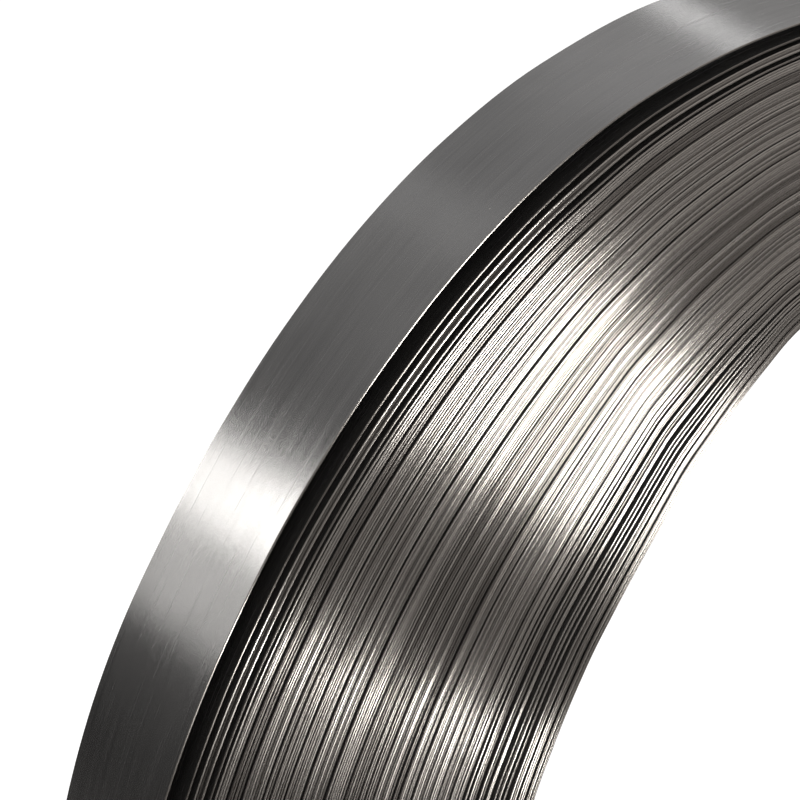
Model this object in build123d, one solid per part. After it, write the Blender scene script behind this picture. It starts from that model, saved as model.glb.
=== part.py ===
from build123d import *
import os

# Coil of thin narrow steel strip, wound flat turn on turn and standing on its rim.
# Frame: millimetres, +Z up, the winding axis along Y, and the origin under the
# middle of the coil, on the plane the rim stands on.

# ---- driving dimensions ----
outer_r = 106.0          # outside radius of the outermost turn
bore_r = 57.0            # radius of the open middle
strip_w = 20.0           # strip width, so the coil's height
strip_t = 0.25           # strip thickness
turn_pitch = 0.33        # radial room of one turn inside a bunch
loose_gap = 1.55         # open gap behind the loose outermost turn
second_gap = 0.80        # gap behind the second turn
end_depth = 1.6          # how deep the gaps behind the loose turns run in from each end

# Turns from the outside inwards, as (radial width of a tight bunch of turns,
# gap after it, top set-down, bottom set-up, depth of the gap). A bunch width is
# a whole number of turns; set-down and set-up are how far its edges stay behind
# the highest and the lowest edge.
loose_turns = [
    (1 * strip_t, loose_gap, 0.00, 0.00, end_depth),
    (1 * strip_t, second_gap, 0.12, 0.10, end_depth),
    (2 * strip_t, 0.65, 0.05, 0.00, end_depth),
    (1 * strip_t, 0.45, 0.22, 0.16, 1.2),
]
bunch_turns = [5, 3, 6, 4, 7, 3, 5, 8, 4, 6, 3, 5, 7, 4, 5, 3, 6, 4, 8, 2]
bunch_down = [0.00, 0.18, 0.06, 0.24, 0.00, 0.15, 0.08, 0.00, 0.20, 0.04, 0.26, 0.10,
              0.00, 0.16, 0.05, 0.22, 0.00, 0.12, 0.03, 0.14]
bunch_up = [0.00, 0.12, 0.00, 0.20, 0.05, 0.00, 0.14, 0.00, 0.08, 0.00, 0.18, 0.00,
            0.10, 0.00, 0.06, 0.15, 0.00, 0.09, 0.00, 0.10]
bunch_gap = 0.35         # gap between two tight bunches
bunch_depth = 0.80       # its depth from each end
inner_turns = [
    (3 * strip_t, 0.50, 0.05, 0.00, 1.2),
    (2 * strip_t, 0.65, 0.20, 0.12, end_depth),
    (2 * strip_t, 0.45, 0.00, 0.00, 1.2),
]

rings = list(loose_turns)
for n, down, up in zip(bunch_turns, bunch_down, bunch_up):
    rings.append((n * turn_pitch, bunch_gap, down, up, bunch_depth))
rings += inner_turns

# What is left between these and the bore is the last bunch, whose inner face is
# the innermost turn and the wall of the bore.
used = sum(width + gap for width, gap, *_ in rings)
last_width = outer_r - bore_r - used
assert last_width > strip_t, last_width
rings.append((last_width, 0.0, 0.10, 0.08, 0.0))

# ---- half section in the r-z plane, walked inwards along the top and outwards
# along the bottom ----
top, bottom = [], []
r = outer_r
for i, (width, gap, down, up, depth) in enumerate(rings):
    r_in = r - width
    top += [(r, strip_w - down), (r_in, strip_w - down)]
    bottom += [(r, up), (r_in, up)]
    if gap > 0:
        top += [(r_in, strip_w - down - depth), (r_in - gap, strip_w - down - depth)]
        bottom += [(r_in, up + depth), (r_in - gap, up + depth)]
    r = r_in - gap

outline = top + bottom[::-1]

with BuildPart() as coil:
    with BuildSketch(Plane.XZ):
        with BuildLine():
            Polyline(*outline, close=True)
        make_face()
    revolve(axis=Axis.Z, revolution_arc=360)

# The section is turned about Z and then stood on its rim: the end that was on
# top faces -Y.
part = Pos(0, 0, outer_r) * Rot(90, 0, 0) * Pos(0, 0, -strip_w / 2) * coil.part
print("rings", len(rings), "last bunch", round(last_width, 3), "volume", round(part.volume))
print("box", part.bounding_box())

os.makedirs("parts", exist_ok=True)
export_step(part, "parts/strip_coil.step")
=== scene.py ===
import bpy, math
import numpy as np
from mathutils import Matrix, Vector


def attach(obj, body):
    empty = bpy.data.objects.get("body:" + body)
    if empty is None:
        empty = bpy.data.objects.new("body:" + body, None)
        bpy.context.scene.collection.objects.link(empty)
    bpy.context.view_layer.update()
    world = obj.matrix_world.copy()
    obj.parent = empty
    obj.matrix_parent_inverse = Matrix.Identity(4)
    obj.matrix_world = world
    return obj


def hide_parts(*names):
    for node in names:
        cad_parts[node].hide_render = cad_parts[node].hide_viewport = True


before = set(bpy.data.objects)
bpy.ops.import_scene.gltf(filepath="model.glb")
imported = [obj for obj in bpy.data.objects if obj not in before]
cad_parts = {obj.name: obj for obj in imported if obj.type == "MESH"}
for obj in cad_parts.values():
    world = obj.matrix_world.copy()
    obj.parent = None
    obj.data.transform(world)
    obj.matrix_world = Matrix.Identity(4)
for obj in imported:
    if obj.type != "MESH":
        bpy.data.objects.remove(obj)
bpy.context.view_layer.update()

# ---------------------------------------------------------------- sizes, metres
R0 = 0.106            # outside radius of the coil, and the height of its axis
W = 0.020             # strip width
T = 0.00025           # strip thickness
TURNS = 115
TURN0 = math.radians(55.38)   # where the angles of the tables below start, from +X
rng = np.random.default_rng(4)


def periodic(points, shape=1.0):
    """Smooth closed curve through (degrees, value) pairs, as a function of radians."""
    a = np.array([p[0] for p in points], float)
    v = np.array([p[1] for p in points], float)
    o = np.argsort(a)
    a, v = a[o], v[o]
    a3 = np.concatenate([a - 360, a, a + 360])
    v3 = np.concatenate([v, v, v])
    # monotone cubic (Fritsch-Carlson) slopes
    h = np.diff(a3)
    d = np.diff(v3) / h
    m = np.zeros_like(a3)
    for i in range(1, len(a3) - 1):
        if d[i - 1] * d[i] > 0:
            w1, w2 = 2 * h[i] + h[i - 1], h[i] + 2 * h[i - 1]
            m[i] = (w1 + w2) / (w1 / d[i - 1] + w2 / d[i])

    def f(rad):
        x = np.degrees(np.asarray(rad, float)) % 360
        i = np.clip(np.searchsorted(a3, x, side="right") - 1, 0, len(h) - 1)
        s = (x - a3[i]) / h[i]
        h00 = (1 + 2 * s) * (1 - s) ** 2
        h10 = s * (1 - s) ** 2
        h01 = s * s * (3 - 2 * s)
        h11 = s * s * (s - 1)
        return h00 * v3[i] + h10 * h[i] * m[i] + h01 * v3[i + 1] + h11 * h[i] * m[i + 1]
    return f


# The coil isn't quite round: it sags a little flat at its upper left and its turns
# open up there. Radii of the outermost and the innermost turn as shares of R0, by
# angle from TURN0.
r_out = periodic([(0, 1.000), (30, 0.9995), (44, 0.999), (56, 0.998), (64, 0.9915), (72, 0.982), (80, 0.9735),
                  (87, 0.9695), (94, 0.969), (101, 0.9725), (108, 0.979), (118, 0.989), (135, 0.998),
                  (155, 1.0), (195, 1.0), (215, 1.0), (240, 1.0), (300, 1.0)])
r_in = periodic([(4, 0.6640), (14, 0.6775), (25, 0.6835), (33, 0.6825), (40, 0.6745), (47, 0.6505), (51.3, 0.6277), (56, 0.605), (60, 0.587),
                 (64.3, 0.571), (68.3, 0.5545), (72.7, 0.539), (77.3, 0.5275), (82, 0.519), (87, 0.513),
                 (91.6, 0.508), (96.4, 0.505), (101.3, 0.5035), (107, 0.5055), (120, 0.512), (140, 0.524),
                 (170, 0.538), (200, 0.545), (240, 0.555), (280, 0.574), (320, 0.607), (345, 0.639)])
lean = periodic([(0, 0.0), (30, 0.004), (46, 0.009), (56, 0.0025), (64, 0.0), (80, -0.002), (92, -0.003), (104, 0.0),
                 (140, 0.0), (200, 0.0), (300, 0.0)])

# ---------------------------------------------------------------- the gaps between turns
# loose: gaps with a size of their own, in metres, from the outside inwards
loose = {0: 0.00195, 1: 0.00095, 4: 0.00090, 5: 0.00036}
inner_loose = {TURNS - 21: 0.00034, TURNS - 18: 0.00046, TURNS - 16: 0.00040, TURNS - 14: 0.00070, TURNS - 12: 0.00042,
               TURNS - 11: 0.00105, TURNS - 8: 0.00030, TURNS - 5: 0.00022}
# share: how the rest of the room is spread; a gap that ends a bunch takes more
share = 0.80 + 0.35 * rng.random(TURNS - 1)
bunches = [2, 3, 3, 2, 4, 3, 2, 2, 3, 4, 2, 3, 3, 2, 3, 4, 2, 3, 2, 3, 3, 4, 2, 3, 2, 4, 3, 3, 2, 3, 2, 3, 4, 2, 3, 2]
wide = {1, 3, 6, 8, 10, 13, 16, 18, 21, 24, 26, 29, 31, 33}
i = 5
bunch_of = np.zeros(TURNS, int)
ends = []
for k, n in enumerate(bunches):
    bunch_of[i:min(i + n, TURNS)] = k + 5
    i += n
    if i < TURNS:
        ends.append((i - 1, k))
bunch_of[i:] = len(bunches) + 5
for q in range(5):
    bunch_of[q] = q
for e_, k in ends:
    share[e_] = (1.6 + 1.0 * rng.random()) if k in wide else (1.1 + 0.5 * rng.random())
for k in list(loose) + list(inner_loose):
    share[k] = 0.4
share[2] = 0.9
share[3] = 0.25
# a second set of shares that the first turns into further round, so that no gap
# keeps one width all the way
share_b = share * (0.6 + 0.8 * rng.random(TURNS - 1))
fixed, fixed_in = np.zeros(TURNS - 1), np.zeros(TURNS - 1)
for k, g in loose.items():
    fixed[k] = g
for k, g in inner_loose.items():
    fixed_in[k] = g


def radii(phi):
    """Centre-line radius of every turn at angle phi (array), shape (TURNS, len(phi))."""
    ro, ri = r_out(phi) * R0, r_in(phi) * R0
    room = ro - ri - TURNS * T
    fx = fixed[:, None] * (0.48 + 0.52 * np.clip((room - 0.004) / 0.011, 0, 1))[None, :]
    fx = fx + fixed_in[:, None] * (0.25 + 0.75 * np.clip((room - 0.005) / 0.011, 0, 1))[None, :]
    left = room - fx.sum(0)
    mix = 0.5 + 0.5 * np.sin(phi * 2 + 0.6)
    sh = share[:, None] * (1 - mix)[None, :] + share_b[:, None] * mix[None, :]
    sh = sh / sh.sum(0)
    gaps = fx + sh * left[None, :]
    out = np.empty((TURNS, len(phi)))
    out[0] = ro - T / 2
    for q in range(1, TURNS):
        out[q] = out[q - 1] - T - gaps[q - 1]
    return out


# ---------------------------------------------------------------- stations round one turn
def stations():
    """Angles of one turn: close together where the turns are seen edge on from near by."""
    fine = np.radians(np.arange(30, 125, 1.0))
    rest = np.radians(np.arange(125, 390, 2.5))
    return np.concatenate([fine, rest])


PH = stations()                      # 30 .. 390 degrees, one whole turn
NS = len(PH)
STEP0, STEP1 = math.radians(132), math.radians(200)   # where each turn steps in to the next
base = radii(PH)
nxt = np.vstack([base[1:], base[-1:] - (T + 0.0001)])
s = np.clip((PH - STEP0) / (STEP1 - STEP0), 0, 1)
s = s * s * (3 - 2 * s)
rad = base * (1 - s) + nxt * s       # (TURNS, NS)
print("SMALLEST GAP mm", round(float((base[:-1] - base[1:] - T).min()) * 1000, 4),
      round(float((rad[:-1] - rad[1:] - T).min()) * 1000, 4))

# height of each turn's edge along the axis: bunches stand a little in or out
bunch_y = rng.normal(0, 0.00011, bunch_of.max() + 2)
turn_y = rng.normal(0, 0.000028, TURNS)
bunch_w = rng.random((bunch_of.max() + 2, 4))
# place of each turn in its bunch, 1 at the outer side to -1 at the inner side: the
# edges of a bunch stand as one low ridge
crown = np.zeros(TURNS)
for b_ in range(5, bunch_of.max() + 1):
    w_ = np.flatnonzero(bunch_of == b_)
    if len(w_) > 1:
        crown[w_] = np.linspace(1, -1, len(w_))
yoff = np.zeros((TURNS, NS))
for q in range(TURNS):
    b_ = bunch_of[q]
    w_ = bunch_w[b_]
    p1, p2, p3 = rng.random(3) * 6.283
    yoff[q] = (bunch_y[b_] * (0.8 + 0.35 * np.sin(PH + b_ * 1.7)) + turn_y[q] * (1 + 0.8 * np.sin(2 * PH + p1))
               + 0.000024 * np.sin(round(9 + 6 * w_[0]) * PH + 6.28 * w_[1])
               + 0.000008 * np.sin(round(19 + 9 * w_[2]) * PH + 6.28 * w_[3])
               + 0.000010 * np.sin(round(14 + 16 * rng.random()) * PH + p2)
               - 0.000030 * (1 - crown[q] ** 2))
yoff[0] = 0.00012 + 0.00002 * np.sin(7 * PH)
yoff[1] = -0.00025 + 0.00004 * np.sin(8 * PH + 1)
yoff[2] = 0.00006 + 0.00004 * np.sin(10 * PH + 2)
yoff[3] = 0.00004 + 0.00004 * np.sin(9 * PH + 3)
yoff[4] = -0.0003 + 0.00004 * np.sin(11 * PH + 4)
yn = np.vstack([yoff[1:], yoff[-1:]])
yoff = yoff * (1 - s) + yn * s
yoff = np.clip(yoff, -0.0005, 0.00035)

tone_t = np.clip(rng.normal(0.5, 0.2, TURNS), 0, 1)
tone_t[0] = 0.5
# The strip's outer end is tucked under the coil, just left of where it stands, so
# the run starts with the part of a turn from there to the first station.
head = int(np.searchsorted(PH, math.radians(203)))
# Its inner end lies at the lower right of the bore.
tail = int(np.searchsorted(PH, math.radians(250)))


def joined(first, body):
    """Values along the strip: the head of the first turn, then turn after turn."""
    return np.concatenate([first[head:], body.reshape(-1)[:(TURNS - 1) * NS + tail + 1]])


tone2 = tone_t[:, None] * (1 - s) + np.append(tone_t[1:], 0.5)[:, None] * s
lean2 = np.zeros((TURNS, NS)); lean2[0] = lean(PH) * R0 * (1 - s)
phi_all = joined(PH - 2 * math.pi, PH[None, :] + 2 * math.pi * np.arange(TURNS)[:, None])
rad_all = joined(base[0], rad)
y_all = joined(np.full(NS, 0.00012) + 0.00002 * np.sin(7 * PH), yoff)
tone_all = joined(np.full(NS, tone_t[0]), tone2)
ridge = 0.05 + 0.19 * np.clip((np.degrees(PH) - 84) / 12, 0, 1) * np.clip((215 - np.degrees(PH)) / 60, 0, 1)
tilt2 = (crown[:, None] * (1 - s) + np.append(crown[1:], 0)[:, None] * s) * ridge[None, :]
tilt_all = joined(np.zeros(NS), tilt2)
lean_all = joined(lean(PH) * R0, lean2)

cx, cz = rad_all * np.cos(phi_all + TURN0), R0 + rad_all * np.sin(phi_all + TURN0)
tx, tz = np.gradient(cx), np.gradient(cz)
ty = np.gradient(y_all)
tl3 = np.sqrt(tx ** 2 + ty ** 2 + tz ** 2)
t3 = np.stack([tx / tl3, ty / tl3, tz / tl3], 1)
tl = np.hypot(tx, tz)
tx, tz = tx / tl, tz / tl
nx, nz = tz, -tx                     # outwards
flip = np.sign(nx * np.cos(phi_all + TURN0) + nz * np.sin(phi_all + TURN0))
nx, nz = nx * flip, nz * flip
length_along = np.concatenate([[0], np.cumsum(np.hypot(np.diff(cx), np.diff(cz)))])

h, e = W / 2, T / 2
rows = []
for d in (0, 30, 60, 90, 120, 150, 180):            # far edge (+Y), outer side to inner side
    c, k = math.cos(math.radians(d)), math.sin(math.radians(d))
    if d in (30, 150):
        continue
    rows.append((e * c, h - e + e * k, c, k))
rc, cr_, sd = 0.42 * e, math.sin(math.radians(10)), math.cos(math.radians(10))
for sx in (-1, 1):                                  # near edge (-Y): a slit face, hardly domed, with eased corners
    corner = [(sx * e, -h + rc, sx, 0.0),
              (sx * (e - 0.293 * rc), -h + 0.293 * rc, sx * 0.707, -0.707),
              (sx * (e - rc), -h, sx * cr_, -sd)]
    rows += corner if sx < 0 else corner[::-1]
SEC = np.array(rows)
FLATS = {4, len(rows) - 1}
NSEC = len(SEC)
EDGE_QUADS = set(range(NSEC)) - FLATS
per = np.concatenate([[0], np.cumsum(np.hypot(np.diff(SEC[:, 0], append=SEC[0, 0]), np.diff(SEC[:, 1], append=SEC[0, 1])))])


def strip_piece(name, a, b, mats):
    """The strip from section a to section b as one closed mesh."""
    idx = np.arange(a, b + 1)
    n = len(idx)
    off_r, off_y, nr, ny = SEC.T
    w_back = (off_y + h) / W
    rr = off_r[None, :] + lean_all[idx][:, None] * w_back[None, :]
    X = cx[idx][:, None] + nx[idx][:, None] * rr
    Z = cz[idx][:, None] + nz[idx][:, None] * rr
    Y = y_all[idx][:, None] + off_y[None, :]
    co = np.stack([X, Y, Z], 2).reshape(-1, 3)
    nr2 = nr[None, :] + tilt_all[idx][:, None] * np.clip(-ny, 0, 1)[None, :]
    no = np.stack([nx[idx][:, None] * nr2, np.broadcast_to(ny[None, :], (n, NSEC)), nz[idx][:, None] * nr2], 2)
    tt = t3[idx][:, None, :]
    no = no - (no * tt).sum(2, keepdims=True) * tt
    no = (no / np.linalg.norm(no, axis=2, keepdims=True)).reshape(-1, 3)
    # quads
    ii = np.arange(n - 1)[:, None] * NSEC
    jj = np.arange(NSEC)[None, :]
    jn = (jj + 1) % NSEC
    quads = np.stack([ii + jj, ii + jn, ii + NSEC + jn, ii + NSEC + jj], 2).reshape(-1, 4)
    me = bpy.data.meshes.new(name)
    nq = len(quads)
    me.vertices.add(len(co))
    me.vertices.foreach_set("co", co.reshape(-1))
    caps = [list(range(NSEC))[::-1], [(n - 1) * NSEC + k for k in range(NSEC)]]
    loops = np.concatenate([quads.reshape(-1), np.array(caps).reshape(-1)])
    starts = np.concatenate([np.arange(nq) * 4, nq * 4 + np.array([0, NSEC])])
    totals = np.concatenate([np.full(nq, 4), [NSEC, NSEC]])
    me.loops.add(len(loops))
    me.loops.foreach_set("vertex_index", loops.astype(np.int32))
    me.polygons.add(nq + 2)
    me.polygons.foreach_set("loop_start", starts.astype(np.int32))
    me.polygons.foreach_set("loop_total", totals.astype(np.int32))
    mat_i = np.zeros(nq + 2, np.int32)
    mat_i[:nq] = np.tile(np.array([1 if k in EDGE_QUADS else 0 for k in range(NSEC)]), n - 1)
    mat_i[nq:] = 1
    me.update(calc_edges=True)
    uv = me.uv_layers.new(name="UVMap")
    ul = length_along[idx]
    u_sec = per
    q_uv = np.empty((n - 1, NSEC, 4, 2))
    q_uv[:, :, 0, 0] = u_sec[:-1][None, :]
    q_uv[:, :, 1, 0] = u_sec[1:][None, :]
    q_uv[:, :, 2, 0] = u_sec[1:][None, :]
    q_uv[:, :, 3, 0] = u_sec[:-1][None, :]
    q_uv[:, :, 0, 1] = ul[:-1][:, None]
    q_uv[:, :, 1, 1] = ul[:-1][:, None]
    q_uv[:, :, 2, 1] = ul[1:][:, None]
    q_uv[:, :, 3, 1] = ul[1:][:, None]
    flat_uv = np.concatenate([q_uv.reshape(-1, 2), np.zeros((2 * NSEC, 2))])
    flat_uv *= 10.0                                   # one unit of the map is 100 mm
    uv.data.foreach_set("uv", flat_uv.reshape(-1))
    me.polygons.foreach_set("material_index", mat_i)
    tone = me.attributes.new("tone", "FLOAT", "POINT")
    tone.data.foreach_set("value", np.repeat(tone_all[idx], NSEC).astype(np.float32))
    for m in mats:
        me.materials.append(m)
    me.shade_smooth()
    me.validate()
    me.normals_split_custom_set_from_vertices(no.tolist())
    ob = bpy.data.objects.new(name, me)
    bpy.context.scene.collection.objects.link(ob)
    return ob


# ---------------------------------------------------------------- materials
def nodes_of(m):
    m.use_nodes = True
    return m.node_tree.nodes, m.node_tree.links


def ramp(nodes, stops):
    r = nodes.new("ShaderNodeValToRGB")
    el = r.color_ramp.elements
    el[0].position, el[0].color = stops[0][0], (*stops[0][1], 1)
    el[1].position, el[1].color = stops[-1][0], (*stops[-1][1], 1)
    for p, c in stops[1:-1]:
        x = el.new(p)
        x.color = (*c, 1)
    return r


def steel(name, tint_lo, tint_hi, rough_lo, rough_hi, aniso, brush, tone_share):
    m = bpy.data.materials.new(name)
    N, L = nodes_of(m)
    bs = N["Principled BSDF"]
    bs.inputs["Metallic"].default_value = 0.92
    bs.inputs["Anisotropic"].default_value = aniso
    uv = N.new("ShaderNodeUVMap"); uv.uv_map = "UVMap"
    tan = N.new("ShaderNodeTangent"); tan.direction_type = "UV_MAP"; tan.uv_map = "UVMap"
    L.new(tan.outputs["Tangent"], bs.inputs["Tangent"])
    # brushing: noise drawn out along the strip
    mp = N.new("ShaderNodeMapping"); mp.inputs["Scale"].default_value = (560, 7, 1)
    L.new(uv.outputs["UV"], mp.inputs["Vector"])
    n1 = N.new("ShaderNodeTexNoise"); n1.inputs["Scale"].default_value = 1.0; n1.inputs["Detail"].default_value = 5.0
    n1.inputs["Roughness"].default_value = 0.62
    L.new(mp.outputs["Vector"], n1.inputs["Vector"])
    mp2 = N.new("ShaderNodeMapping"); mp2.inputs["Scale"].default_value = (170, 4, 1)
    L.new(uv.outputs["UV"], mp2.inputs["Vector"])
    n2 = N.new("ShaderNodeTexNoise"); n2.inputs["Scale"].default_value = 1.0; n2.inputs["Detail"].default_value = 3.0
    L.new(mp2.outputs["Vector"], n2.inputs["Vector"])
    # cloudy tone, in object space
    tc = N.new("ShaderNodeTexCoord")
    n3 = N.new("ShaderNodeTexNoise"); n3.inputs["Scale"].default_value = 38.0; n3.inputs["Detail"].default_value = 4.0
    L.new(tc.outputs["Object"], n3.inputs["Vector"])
    mx = N.new("ShaderNodeMix"); mx.data_type = "FLOAT"; mx.inputs[0].default_value = 0.42
    L.new(n1.outputs["Fac"], mx.inputs[2]); L.new(n2.outputs["Fac"], mx.inputs[3])
    mx2 = N.new("ShaderNodeMix"); mx2.data_type = "FLOAT"; mx2.inputs[0].default_value = 0.45
    L.new(mx.outputs[0], mx2.inputs[2]); L.new(n3.outputs["Fac"], mx2.inputs[3])
    at = N.new("ShaderNodeAttribute"); at.attribute_name = "tone"
    mx3 = N.new("ShaderNodeMix"); mx3.data_type = "FLOAT"; mx3.inputs[0].default_value = tone_share
    L.new(mx2.outputs[0], mx3.inputs[2]); L.new(at.outputs["Fac"], mx3.inputs[3])
    cr = ramp(N, [(0.40, tint_lo), (0.60, tint_hi)])
    L.new(mx3.outputs[0], cr.inputs["Fac"])
    # dust specks
    vo = N.new("ShaderNodeTexVoronoi"); vo.feature = "F1"; vo.inputs["Scale"].default_value = 520.0
    L.new(tc.outputs["Object"], vo.inputs["Vector"])
    wn = N.new("ShaderNodeTexWhiteNoise"); wn.noise_dimensions = "3D"
    L.new(vo.outputs["Position"], wn.inputs["Vector"])
    near = N.new("ShaderNodeMath"); near.operation = "LESS_THAN"; near.inputs[1].default_value = 0.055
    L.new(vo.outputs["Distance"], near.inputs[0])
    few = N.new("ShaderNodeMath"); few.operation = "GREATER_THAN"; few.inputs[1].default_value = 0.90
    L.new(wn.outputs["Value"], few.inputs[0])
    dust = N.new("ShaderNodeMath"); dust.operation = "MULTIPLY"
    L.new(near.outputs[0], dust.inputs[0]); L.new(few.outputs[0], dust.inputs[1])
    dc = N.new("ShaderNodeMix"); dc.data_type = "RGBA"
    L.new(dust.outputs[0], dc.inputs[0]); L.new(cr.outputs["Color"], dc.inputs[6]); dc.inputs[7].default_value = (0.62, 0.60, 0.57, 1)
    L.new(dc.outputs[2], bs.inputs["Base Color"])
    mr = N.new("ShaderNodeMapRange")
    mr.inputs["From Min"].default_value = 0.35; mr.inputs["From Max"].default_value = 0.65
    mr.inputs["To Min"].default_value = rough_lo; mr.inputs["To Max"].default_value = rough_hi
    L.new(mx.outputs[0], mr.inputs["Value"])
    L.new(mr.outputs["Result"], bs.inputs["Roughness"])
    bp = N.new("ShaderNodeBump"); bp.inputs["Strength"].default_value = brush; bp.inputs["Distance"].default_value = 0.00002
    L.new(n1.outputs["Fac"], bp.inputs["Height"])
    L.new(bp.outputs["Normal"], bs.inputs["Normal"])
    return m


flat_mat = steel("strip_flat", (0.26, 0.256, 0.253), (0.44, 0.433, 0.425), 0.17, 0.29, 0.75, 0.6, 0.30)
edge_mat = steel("strip_edge", (0.30, 0.284, 0.268), (0.64, 0.617, 0.588), 0.20, 0.24, 0.93, 0.04, 0.70)

# ---------------------------------------------------------------- the strip, in stretches
lead = NS - head                      # sections before the first whole turn
marks = [(0, "strip_outer_turns"), (5, "strip_turns_a"), (33, "strip_turns_b"), (61, "strip_turns_c"), (89, "strip_turns_d")]
bounds_ = []
for k, (q, nm) in enumerate(marks):
    a = 0 if k == 0 else lead + q * NS
    b = len(phi_all) - 1 if k == len(marks) - 1 else lead + marks[k + 1][0] * NS
    bounds_.append((nm, a, b))
pieces = []
for nm, a, b in bounds_:
    ob = strip_piece(nm, a, b, [flat_mat, edge_mat])
    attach(ob, "root")
    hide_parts("strip_coil")
    pieces.append(ob)
    print("PIECE", nm, sum(len(p.vertices) - 2 for p in ob.data.polygons))

# ---------------------------------------------------------------- camera
sc = bpy.context.scene
CN = np.array([0.528783, 0.291105, -0.797274]); CN /= np.linalg.norm(CN)
CC = np.array([0.561862, 0.498625, 2.523455]) * R0
E1 = np.array([CN[1], -CN[0], 0.0]); E1 /= np.linalg.norm(E1)
E2 = np.cross(CN, E1)
ce, se = math.cos(TURN0), math.sin(TURN0)
e1w, e2w, nw = np.array([ce, 0, se]), np.array([-se, 0, ce]), np.array([0.0, -1.0, 0.0])
M = np.outer(e1w, E1) + np.outer(e2w, E2) + np.outer(nw, CN)     # camera to world directions
eye = np.array([0, -W / 2, R0]) - M @ CC
cam_data = bpy.data.cameras.new("camera")
cam = bpy.data.objects.new("camera", cam_data)
sc.collection.objects.link(cam)
cam_data.sensor_width = 36.0
cam_data.lens = 2000.0 / 800.0 * 36.0
cam_data.clip_start = 0.005
cam_data.clip_end = 50
right, down, fwd = M @ np.array([1.0, 0, 0]), M @ np.array([0, 1.0, 0]), M @ np.array([0, 0, 1.0])
mw = Matrix.Identity(4)
for r_ in range(3):
    mw[r_][0], mw[r_][1], mw[r_][2], mw[r_][3] = right[r_], -down[r_], -fwd[r_], eye[r_]
cam.matrix_world = mw
sc.camera = cam
print("EYE", eye, "FWD", fwd, "RIGHT", right)

# ---------------------------------------------------------------- floor and backdrop
def stage_material(name, colour, emission):
    m = bpy.data.materials.new(name)
    N, L = nodes_of(m)
    b = N["Principled BSDF"]
    b.inputs["Base Color"].default_value = (*colour, 1)
    b.inputs["Roughness"].default_value = 0.9
    b.inputs["Specular IOR Level"].default_value = 0.1
    b.inputs["Emission Color"].default_value = (1, 1, 1, 1)
    b.inputs["Emission Strength"].default_value = emission
    return m


bpy.ops.mesh.primitive_plane_add(size=12, location=(0, 0, 0))
floor = bpy.context.object
floor.name = "floor"
floor.data.materials.append(stage_material("floor_white", (0.9, 0.9, 0.9), 0.72))
floor.visible_glossy = False          # the steel is lit by the softboxes alone
bpy.ops.mesh.primitive_uv_sphere_add(segments=48, ring_count=24, radius=9, location=(0, 0, 0))
dome = bpy.context.object
dome.name = "backdrop"
dome.data.materials.append(stage_material("backdrop_white", (0.0, 0.0, 0.0), 0.97))
dome.visible_glossy = False
dome.visible_diffuse = False
dome.visible_shadow = False

# ---------------------------------------------------------------- light
world = bpy.data.worlds.new("studio")
sc.world = world
world.use_nodes = True
wn = world.node_tree.nodes; wl = world.node_tree.links
bg = wn["Background"]
bg.inputs["Strength"].default_value = 1.0
wtc = wn.new("ShaderNodeTexCoord")
wsep = wn.new("ShaderNodeSeparateXYZ")
wl.new(wtc.outputs["Generated"], wsep.inputs["Vector"])


def world_ramp(axis, stops):
    r = wn.new("ShaderNodeMapRange")
    r.inputs["From Min"].default_value = -1.0; r.inputs["From Max"].default_value = 1.0
    wl.new(wsep.outputs[axis], r.inputs["Value"])
    c = wn.new("ShaderNodeValToRGB")
    e = c.color_ramp.elements
    e[0].position, e[0].color = stops[0][0], (*stops[0][1], 1)
    e[1].position, e[1].color = stops[-1][0], (*stops[-1][1], 1)
    for p, q in stops[1:-1]:
        x = e.new(p); x.color = (*q, 1)
    wl.new(r.outputs["Result"], c.inputs["Fac"])
    return c


up = world_ramp("Z", [(0.0, (0.20, 0.19, 0.183)), (0.34, (0.18, 0.171, 0.165)), (0.405, (0.09, 0.087, 0.085)), (0.445, (0.10, 0.098, 0.096)), (0.48, (0.20, 0.197, 0.195)),
                      (0.515, (0.34, 0.337, 0.335)), (0.60, (0.42, 0.417, 0.415)), (0.70, (0.70, 0.695, 0.695)), (0.78, (1.0, 1.0, 1.01)), (1.0, (1.0, 1.0, 1.01))])
back = world_ramp("Y", [(0.0, (0.37, 0.345, 0.325)), (0.40, (0.31, 0.292, 0.28)), (0.55, (0.20, 0.195, 0.19)), (0.72, (0.30, 0.296, 0.292)), (1.0, (0.38, 0.38, 0.382))])
side = world_ramp("X", [(0.0, (1.0, 1.0, 1.0)), (0.38, (1.0, 1.0, 1.0)), (0.55, (1.2, 1.2, 1.2)), (0.70, (1.75, 1.75, 1.75)), (1.0, (1.75, 1.75, 1.75))])
wm = wn.new("ShaderNodeMix"); wm.data_type = "RGBA"; wm.blend_type = "MULTIPLY"; wm.inputs[0].default_value = 1.0
wl.new(up.outputs["Color"], wm.inputs[6]); wl.new(back.outputs["Color"], wm.inputs[7])
wm2 = wn.new("ShaderNodeMix"); wm2.data_type = "RGBA"; wm2.blend_type = "MULTIPLY"; wm2.inputs[0].default_value = 1.0
wl.new(wm.outputs[2], wm2.inputs[6]); wl.new(side.outputs["Color"], wm2.inputs[7])
wl.new(wm2.outputs[2], bg.inputs["Color"])

focus = Vector((-0.060, -0.008, 0.165))


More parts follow.
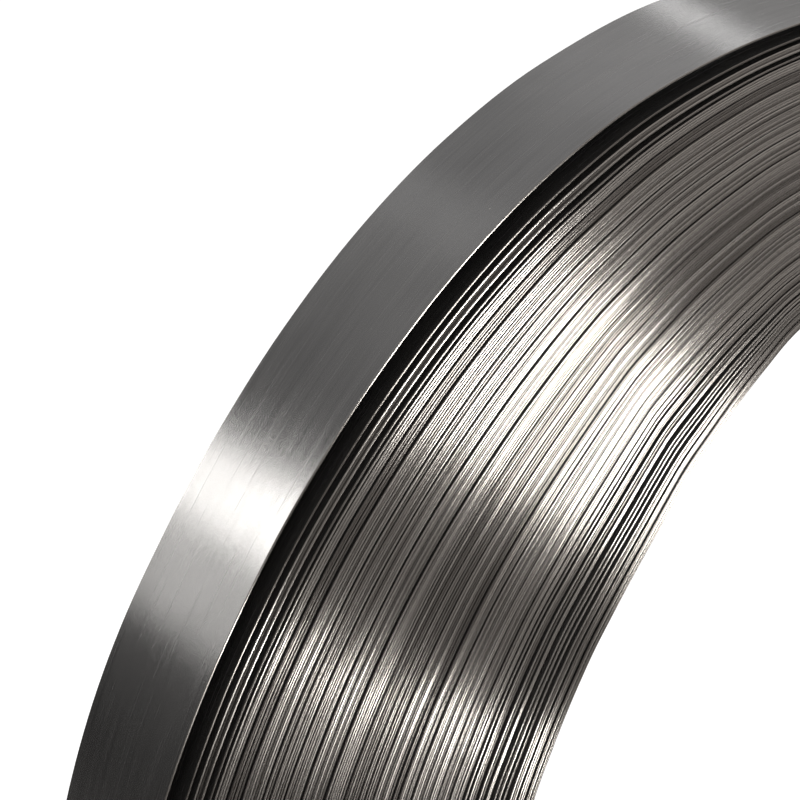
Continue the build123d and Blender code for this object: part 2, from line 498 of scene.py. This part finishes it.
def softbox(name, direction, dist, size, radiance, color=(1, 1, 1), along=None, glossy=True):
    """A rectangular softbox that faces the coil; size is (along, across) and radiance its brightness."""
    d = Vector(direction).normalized()
    ld = bpy.data.lights.new(name, "AREA")
    ld.shape = "RECTANGLE"
    ld.size, ld.size_y = size
    ld.energy = radiance * math.pi * size[0] * size[1]
    ld.color = color
    o = bpy.data.objects.new(name, ld)
    sc.collection.objects.link(o)
    z = d
    x = Vector(along) if along is not None else Vector((0, 0, 1)).cross(z)
    x = (x - z * x.dot(z)).normalized()
    y = z.cross(x)
    m = Matrix((x, y, z)).transposed().to_4x4()
    m.translation = focus + d * dist
    o.matrix_world = m
    o.visible_camera = False
    o.visible_glossy = glossy
    return o


def tangent(psi):
    a = math.radians(psi)
    return (-math.sin(a), 0, math.cos(a))


def panel(name, centre, along, size, radiance, color):
    """A low softbox in front of the coil, upright and facing +Y; along is the direction of its first side."""
    x = Vector(along).normalized()
    z = Vector((0, -1, 0))
    y = z.cross(x)
    ld = bpy.data.lights.new(name, "AREA")
    ld.shape = "RECTANGLE"
    ld.size, ld.size_y = size
    ld.energy = radiance * math.pi * size[0] * size[1]
    ld.color = color
    o = bpy.data.objects.new(name, ld)
    sc.collection.objects.link(o)
    m = Matrix((x, y, z)).transposed().to_4x4()
    m.translation = Vector(centre)
    o.matrix_world = m
    o.visible_camera = False
    return o


# broad low panel in front at the right: the wide fan on the end
panel("front_right", (0.1275, -0.25, 0.066), (0.600, 0, 0.80), (0.056, 0.115), 16.0, (1.0, 0.97, 0.935))
# narrow one nearer the middle: the second fan
panel("front_narrow", (0.027, -0.18, 0.035), (0.565, 0, 0.825), (0.0095, 0.0885), 20.0, (1.0, 0.97, 0.935))
# a dim one beside it: the weaker glints under the second fan
panel("front_dim", (0.002, -0.18, 0.035), (0.565, 0, 0.825), (0.0165, 0.0885), 2.4, (1.0, 0.965, 0.93))
# behind at the left: the bright patch on the outer flat
softbox("back_left", (-0.535, 0.809, 0.245), 0.8, (0.118, 0.30), 4.5, (1.0, 0.99, 0.97), tangent(145))
# a dimmer one just under it: the half-bright band below the patch
softbox("back_left_low", (-0.594, 0.797, 0.108), 0.8, (0.098, 0.30), 1.35, (1.0, 0.99, 0.975), tangent(151))
# behind, high: a faint pale cloud on the upper flat
softbox("back_high", (-0.10, 0.82, 0.56), 0.8, (0.09, 0.16), 0.30, (1.0, 1.0, 1.0), tangent(124))
# behind at the right: the pale streak near the top
softbox("back_right", (0.528, 0.731, 0.432), 0.8, (0.036, 0.22), 1.4, (1.0, 1.0, 1.0), tangent(100.4))
# overhead fill for the floor
softbox("overhead", (0.1, -0.2, 1.0), 2.6, (3.0, 3.0), 0.30, (1, 1, 1), None, glossy=False)

sc.view_settings.view_transform = "Standard"
sc.view_settings.exposure = 0.0
